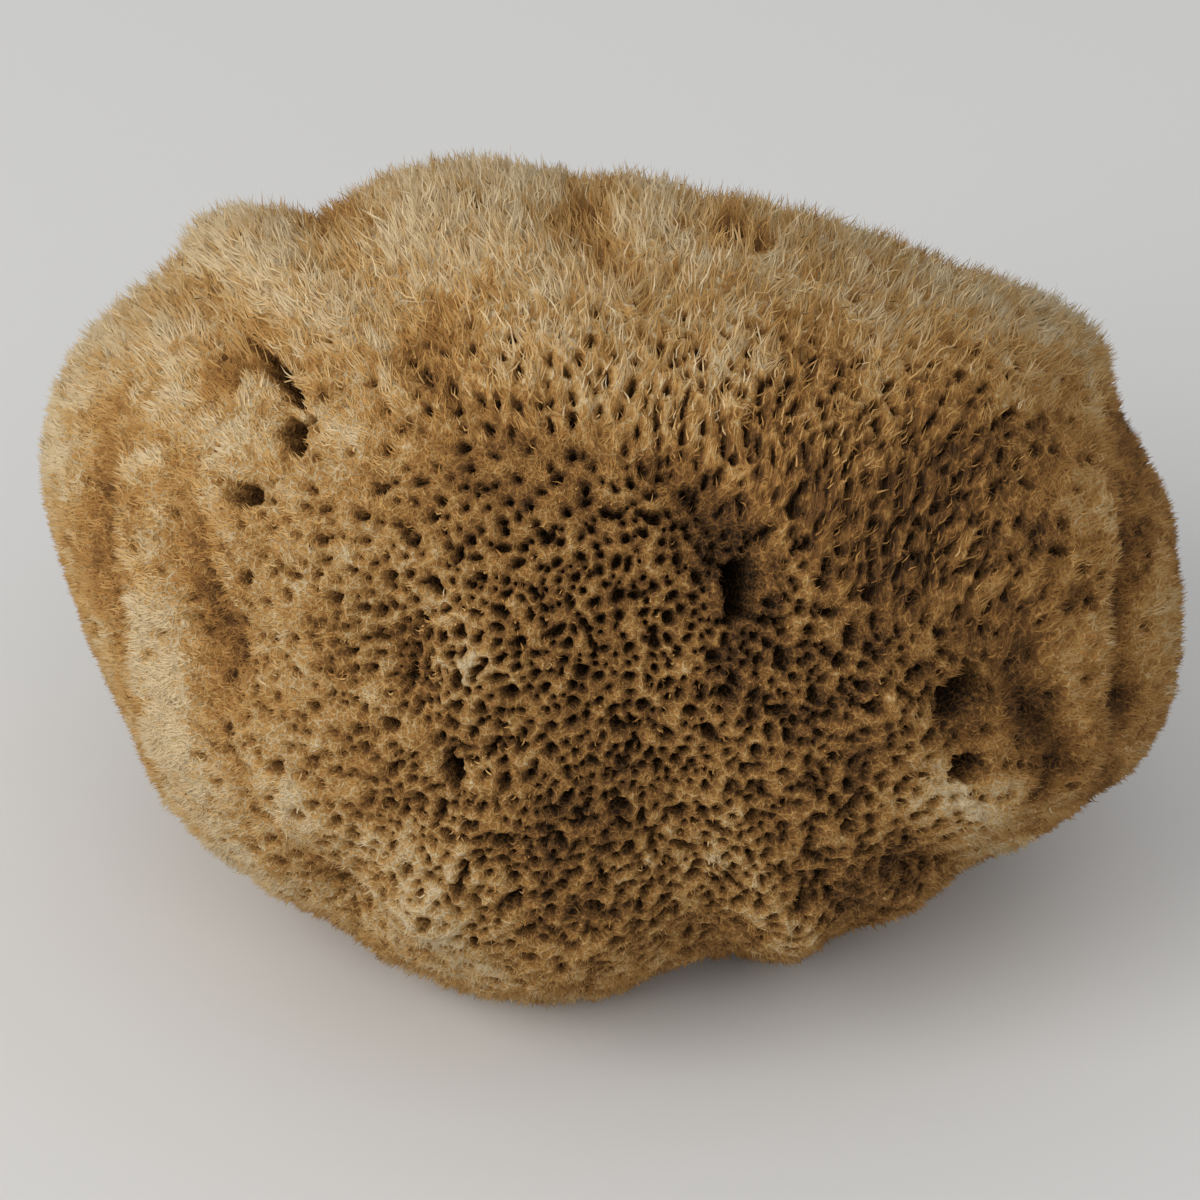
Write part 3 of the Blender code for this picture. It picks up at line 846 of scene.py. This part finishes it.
def growStrands(count):
    # longer fibres that curve up out of the fuzz: laid in flowing locks on the brow, upright on the crown
    middle = skinPoints[skinFaces].mean(axis=1)
    brow, crown, porous = browShare(middle), crownShare(middle), porousShare(middle)
    liking = 0.3 + 1.0 * brow * (1 - 0.5 * crown) + 0.7 * crown + 0.2 * porous
    roots, hollow, normal = chooseRoots(count, liking)
    brow, crown = browShare(roots), crownShare(roots)
    laid = (brow * (1 - 0.6 * crown))[:, None]
    length = fibreLength(roots) * chance.uniform(*fuzz["strandLength"], count) * (1 + 0.2 * laid[:, 0])
    sway = np.stack([patchy(roots, 3.5, seed) for seed in (14, 15, 16)], axis=1)
    comb = combing(roots, normal)
    first = unit(normal + (0.55 * laid - 0.1) * comb + 0.45 * sway + chance.normal(0, 0.22, (count, 3)))
    second = unit((0.75 - 0.45 * laid) * normal + (0.6 + 0.4 * laid) * comb + 0.5 * sway
                  + chance.normal(0, 0.3, (count, 3)))
    bends = roots + first * (0.45 * length)[:, None]
    tips = bends + second * (0.55 * length)[:, None]
    for ends in (bends, tips):
        ends[:, 2] = np.maximum(ends[:, 2], lowest + 0.1)
    tone = toneAt(roots, hollow) + 0.04 + chance.normal(0, 0.05, count)
    # a few strands, more on the brow, are painted paler as glints
    tone += 0.2 * (chance.random(count) < 0.04 + 0.12 * brow)
    return roots, bends, tips, np.clip(tone, 0.06, 0.98), 0.55 - 0.2 * crown, normal


def fibrePiece(name, stations, tone, start, width, normal):
    # each fibre is a closed three-sided spike through its stations, from root to tip; it takes the light
    # mostly as the skin under it does, as matted fibres do together
    count, levels = len(tone), len(stations) - 1
    heading = unit(stations[1] - stations[0])
    side = unit(np.cross(heading, chance.normal(size=(count, 3))))
    other = np.cross(heading, side)
    half = (width * chance.uniform(0.7, 1.25, count))[:, None]
    foot = stations[0] - heading * fuzz["sunk"]
    perFibre = 3 * levels + 1
    corners = np.empty((count, perFibre, 3))
    facing = np.empty((count, perFibre, 3))
    for level in range(levels):
        place = foot if level == 0 else stations[level]
        thick = half * (1 - 0.25 * level)
        for corner in range(3):
            angle = corner * 2 * math.pi / 3
            spoke = side * math.cos(angle) + other * math.sin(angle)
            corners[:, 3 * level + corner] = place + spoke * thick
            facing[:, 3 * level + corner] = normal + fuzz["roundness"] * spoke
    corners[:, -1] = stations[-1]
    facing[:, -1] = normal + fuzz["roundness"] * heading
    pattern = [(0, 2, 1)]
    for level in range(levels - 1):
        for a, b in ((0, 1), (1, 2), (2, 0)):
            a, b = 3 * level + a, 3 * level + b
            pattern += [(a, b, b + 3), (a, b + 3, a + 3)]
    last = 3 * (levels - 1)
    pattern += [(last, last + 1, last + 3), (last + 1, last + 2, last + 3), (last + 2, last, last + 3)]
    first = perFibre * np.arange(count)[:, None]
    faces = np.concatenate([first + np.array(one) for one in pattern], axis=1).reshape(-1, 3)
    rise = np.append(np.repeat(np.arange(levels) / levels, 3), 1.0)
    along = (start[:, None] + (1 - start[:, None]) * rise).ravel()
    toneAll = np.repeat(tone, perFibre)
    piece = newMesh(name, corners.reshape(-1, 3), faces, {"tone": toneAll, "along": along})
    piece.data.normals_split_custom_set_from_vertices(unit(facing).reshape(-1, 3).tolist())
    spread = np.append(np.tile((-0.012, 0.012, 0.0), levels), 0.0)
    climb = np.zeros(perFibre)
    climb[2] = 0.03
    places = np.stack([toneAll + np.tile(spread, count), along + np.tile(climb, count)], axis=1)
    layer = piece.data.uv_layers.new(name="OFBake")
    layer.data.foreach_set("uv", places[faces.ravel()].astype(np.float32).ravel())
    print(name, len(faces), "triangles")
    return piece


def fuzzPieces():
    roots, tips, tone, starts, thin, normal = growFuzz(fuzz["fibres"])
    right, up, out = inView(roots)
    crown = up > fuzz["crownFrom"]
    parts = {
        "fuzz_crown": crown & (right < 0),
        "fuzz_crown_right": crown & (right >= 0),
        "fuzz_back": ~crown & (out <= 0),
        "fuzz_front_left": ~crown & (out > 0) & (right < 0),
        "fuzz_front_right": ~crown & (out > 0) & (right >= 0),
    }
    pieces = []
    for name, part in parts.items():
        width = fuzz["width"] * thin[part]
        stations = (roots[part], tips[part])
        pieces.append(fibrePiece(name, stations, tone[part], starts[part], width, normal[part]))
    roots, bends, tips, tone, starts, normal = growStrands(fuzz["strands"])
    return pieces + [fibrePiece("strands", (roots, bends, tips), tone, starts, fuzz["strandWidth"], normal)]


fuzzParts = fuzzPieces()


# materials


def addNode(tree, kind, place, inputs=(), **settings):
    node = tree.nodes.new(kind)
    node.location = place
    for key, value in settings.items():
        setattr(node, key, value)
    for key, value in dict(inputs).items():
        node.inputs[key].default_value = value
    return node


def wire(tree, *wires):
    # each wire: a node, its output, the next node, its input
    for start, output, end, into in wires:
        tree.links.new(start.outputs[output], end.inputs[into])


def newGroup(name, sockets):
    group = bpy.data.node_groups.new(name, "ShaderNodeTree")
    for label, way, kind in sockets:
        group.interface.new_socket(label, in_out=way, socket_type="NodeSocket" + kind)
    return group, addNode(group, "NodeGroupInput", (-1100, 0)), addNode(group, "NodeGroupOutput", (700, 0))


def newMaterial(name, settings):
    material = bpy.data.materials.new(name)
    material.use_nodes = True
    shader = material.node_tree.nodes["Principled BSDF"]
    for key, value in settings.items():
        shader.inputs[key].default_value = value
    return material, material.node_tree, shader


def ramp(tree, place, stops):
    node = addNode(tree, "ShaderNodeValToRGB", place)
    band = node.color_ramp
    while len(band.elements) > 1:
        band.elements.remove(band.elements[-1])
    for index, (at, colour) in enumerate(stops):
        element = band.elements[0] if index == 0 else band.elements.new(at)
        element.position = at
        element.color = (*colour, 1.0)
    return node


fibreColours = {
    "tips": ((0.0, (0.060, 0.031, 0.015)), (0.3, (0.245, 0.116, 0.037)), (0.55, (0.500, 0.254, 0.074)),
             (0.75, (0.675, 0.415, 0.158)), (0.88, (0.740, 0.530, 0.280)), (1.0, (0.820, 0.660, 0.420))),
    "roots": ((0.0, (0.020, 0.012, 0.007)), (0.5, (0.200, 0.097, 0.029)), (1.0, (0.520, 0.320, 0.120))),
}


def fibreToneGroup():
    # colour of a sponge fibre from its tone and from how far up it a point lies
    group, start, end = newGroup("fibreTone", (("Tone", "INPUT", "Float"), ("Along", "INPUT", "Float"),
                                               ("Colour", "OUTPUT", "Color"), ("Roughness", "OUTPUT", "Float")))
    tips = ramp(group, (-300, 200), fibreColours["tips"])
    roots = ramp(group, (-300, -100), fibreColours["roots"])
    rise = addNode(group, "ShaderNodeMapRange", (-300, -350), {"From Min": 0.0, "From Max": 0.75},
                   interpolation_type="SMOOTHSTEP")
    blend = addNode(group, "ShaderNodeMix", (100, 100), data_type="RGBA")
    rough = addNode(group, "ShaderNodeMapRange", (100, -200), {"To Min": 0.98, "To Max": 0.82})
    wire(group, (start, "Tone", tips, "Fac"), (start, "Tone", roots, "Fac"), (start, "Along", rise, "Value"),
         (rise, "Result", blend, "Factor"), (roots, "Color", blend, "A"), (tips, "Color", blend, "B"),
         (start, "Along", rough, "Value"), (blend, "Result", end, "Colour"),
         (rough, "Result", end, "Roughness"))
    return group


fibreTone = fibreToneGroup()


def toneNodes(tree):
    # the mesh's own tone and along, and the group that makes a colour of them
    tone = addNode(tree, "ShaderNodeAttribute", (-800, 300), attribute_name="tone")
    along = addNode(tree, "ShaderNodeAttribute", (-600, 0), attribute_name="along")
    return tone, along, addNode(tree, "ShaderNodeGroup", (-300, 100), node_tree=fibreTone)


def fuzzMaterial():
    material, tree, shader = newMaterial("sponge fuzz", {
        "Specular IOR Level": 0.1, "Sheen Weight": 0.03, "Sheen Roughness": 0.5,
        "Sheen Tint": (1.0, 0.82, 0.6, 1.0)})
    tone, along, colour = toneNodes(tree)
    wire(tree, (tone, "Fac", colour, "Tone"), (along, "Fac", colour, "Along"),
         (colour, "Colour", shader, "Base Color"), (colour, "Roughness", shader, "Roughness"))
    return material


feltPattern = {
    "warpScale": 700.0,  # per metre
    "warp": 0.0011,  # m
    "grainScale": 2400.0,
    "netScale": 950.0,
    "netWidth": 0.16,  # share of a cell
    "tone": 0.22,  # how far the felt lightens and darkens the skin
    "height": 0.0005,  # m
    "relief": 0.7,  # how strongly it takes the light
}


def feltGroup():
    # matted fibres: a fine grain and a net of curly pale threads, from -1 to 1 around the skin's own tone
    group, start, end = newGroup("felt", (("Place", "INPUT", "Vector"), ("Height", "OUTPUT", "Float")))
    curl = addNode(group, "ShaderNodeTexNoise", (-900, -150),
                   {"Scale": feltPattern["warpScale"], "Detail": 1.0})
    centred = addNode(group, "ShaderNodeVectorMath", (-700, -150), {1: (0.5, 0.5, 0.5)}, operation="SUBTRACT")
    warp = addNode(group, "ShaderNodeVectorMath", (-500, -150), {"Scale": feltPattern["warp"]},
                   operation="SCALE")
    moved = addNode(group, "ShaderNodeVectorMath", (-300, 0), operation="ADD")
    net = addNode(group, "ShaderNodeTexVoronoi", (-100, 150), {"Scale": feltPattern["netScale"]},
                  feature="DISTANCE_TO_EDGE")
    thread = addNode(group, "ShaderNodeMapRange", (120, 150),
                     {"From Max": feltPattern["netWidth"], "To Min": 0.8, "To Max": -0.3},
                     interpolation_type="SMOOTHSTEP")
    grain = addNode(group, "ShaderNodeTexNoise", (-100, -200),
                    {"Scale": feltPattern["grainScale"], "Detail": 3.0, "Roughness": 0.65})
    spread = addNode(group, "ShaderNodeMapRange", (120, -200),
                     {"From Min": 0.3, "From Max": 0.7, "To Min": -0.8, "To Max": 0.8})
    total = addNode(group, "ShaderNodeMath", (350, 0), operation="ADD")
    wire(group, (start, "Place", curl, "Vector"), (curl, "Color", centred, 0), (centred, "Vector", warp, 0),
         (start, "Place", moved, 0), (warp, "Vector", moved, 1), (moved, "Vector", net, "Vector"),
         (net, "Distance", thread, "Value"), (moved, "Vector", grain, "Vector"),
         (grain, "Fac", spread, "Value"), (thread, "Result", total, 0), (spread, "Result", total, 1),
         (total, "Value", end, "Height"))
    return group


def skinMaterial():
    material, tree, shader = newMaterial("sponge skin", {"Specular IOR Level": 0.1})
    meshTone, along, colour = toneNodes(tree)
    place = addNode(tree, "ShaderNodeAttribute", (-1250, -100), attribute_name="feltPlace")
    felted = addNode(tree, "ShaderNodeGroup", (-1000, -100), node_tree=feltGroup())
    strength = addNode(tree, "ShaderNodeMath", (-780, 0), {1: feltPattern["tone"]}, operation="MULTIPLY")
    tone = addNode(tree, "ShaderNodeMath", (-550, 200), operation="ADD")
    relief = addNode(tree, "ShaderNodeBump", (-250, -300),
                     {"Distance": feltPattern["height"], "Strength": feltPattern["relief"]})
    wire(tree, (place, "Vector", felted, "Place"), (felted, "Height", strength, 0),
         (meshTone, "Fac", tone, 0), (strength, "Value", tone, 1), (tone, "Value", colour, "Tone"),
         (along, "Fac", colour, "Along"), (colour, "Colour", shader, "Base Color"),
         (colour, "Roughness", shader, "Roughness"), (felted, "Height", relief, "Height"),
         (relief, "Normal", shader, "Normal"))
    return material


for pieces, look in ((skinPieces, skinMaterial()), (fuzzParts, fuzzMaterial())):
    for piece in pieces:
        piece.data.materials.append(look)
        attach(piece, "root")
for piece in skinPieces:
    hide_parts("sponge")


# floor, light and camera

studio = {
    "floorHalf": 3.0,
    "floorColour": (0.735, 0.735, 0.735),
    "floorRoughness": 0.9,
    "keyPlace": (-0.95, -0.65, 0.85),
    "keySize": 1.1,
    "keyWatts": 10.0,
    "frontPlace": (0.2, -1.1, 1.1),  # a weaker light over the camera
    "frontSize": 0.8,
    "frontWatts": 2.2,
    "lampColour": (1.0, 0.97, 0.92),
    "fillColour": (0.98, 0.99, 1.0),
    "fillStrength": 0.56,
    "lens": 133.7,
    "sensor": 36.0,
    "aimRight": -1.35,  # from the sponge's middle, mm
    "aimUp": -2.7,
    "distance": 550.0,
}


def buildFloor():
    mesh = bpy.data.meshes.new("floor")
    half = studio["floorHalf"]
    corners = [(-half, -half, 0), (half, -half, 0), (half, half, 0), (-half, half, 0)]
    mesh.from_pydata(corners, [], [(0, 1, 2, 3)])
    floor = newObject("floor", mesh)
    material, _, _ = newMaterial("pale floor", {
        "Base Color": (*studio["floorColour"], 1), "Roughness": studio["floorRoughness"],
        "Specular IOR Level": 0.1})
    mesh.materials.append(material)


def buildLamp(name):
    lamp = bpy.data.lights.new(name, "AREA")
    lamp.shape = "DISK"
    lamp.size = studio[name + "Size"]
    lamp.energy = studio[name + "Watts"]
    lamp.color = studio["lampColour"]
    holder = newObject(name, lamp)
    holder.location = studio[name + "Place"]
    holder.rotation_euler = (Vector(heart * mm) - holder.location).to_track_quat("-Z", "Y").to_euler()


def buildLight():
    world = bpy.data.worlds.new("studio")
    bpy.context.scene.world = world
    world.use_nodes = True
    background = world.node_tree.nodes["Background"]
    background.inputs["Color"].default_value = (*studio["fillColour"], 1)
    background.inputs["Strength"].default_value = studio["fillStrength"]
    buildLamp("key")
    buildLamp("front")


def buildCamera():
    lens = bpy.data.cameras.new("camera")
    lens.sensor_width = studio["sensor"]
    lens.lens = studio["lens"]
    lens.clip_start = 0.01
    camera = newObject("camera", lens)
    aim = heart + studio["aimRight"] * viewRight + studio["aimUp"] * viewUp
    place = (aim + studio["distance"] * viewOut) * mm
    turned = Matrix((viewRight, viewUp, viewOut)).transposed().to_4x4()
    camera.matrix_world = Matrix.Translation(Vector(place)) @ turned
    bpy.context.scene.camera = camera
    bpy.context.scene.view_settings.view_transform = "Standard"


buildFloor()
buildLight()
buildCamera()
print("floor, light and camera are in place")
